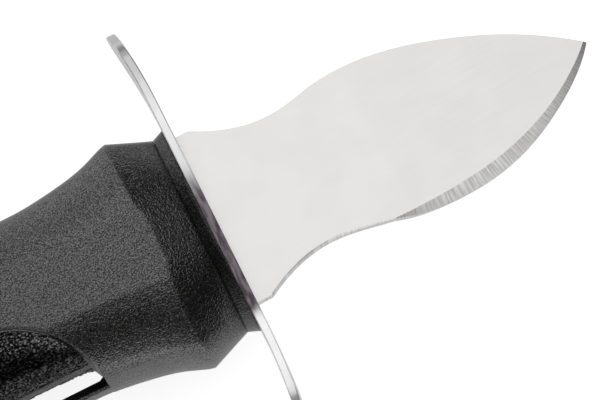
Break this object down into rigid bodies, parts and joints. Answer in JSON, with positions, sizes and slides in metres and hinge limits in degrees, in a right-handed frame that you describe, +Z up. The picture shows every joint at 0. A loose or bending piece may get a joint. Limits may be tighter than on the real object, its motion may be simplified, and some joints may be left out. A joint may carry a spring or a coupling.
{
  "type": "oyster knife",
  "caption": "Oyster knife with a leaf-shaped ground steel blade, a bowed oval finger guard and a moulded black handle with textured grip inserts.",
  "frame": {"origin": "on the knife's axis, where the handle's collar meets the guard, in the blade's middle plane", "axes": "+X towards the blade's tip, -Y towards the ground cutting edge, +Z up from the side that the knife lies on"},
  "size_m": [0.1704, 0.0756, 0.026],
  "materials": {
    "blade_steel": "fine satin flats, cross-ground bevel",
    "guard_steel": "mirror polished",
    "handle_plastic": "fine moulded grain",
    "grip_plastic": "coarse leather grain"
  },
  "bodies": {
    "root": {"blade": "blade_steel", "guard": "guard_steel", "front_collar": "handle_plastic", "handle_body": "handle_plastic", "grip_insert_front": "grip_plastic", "grip_insert_back": "grip_plastic"}
  },
  "joints": []
}
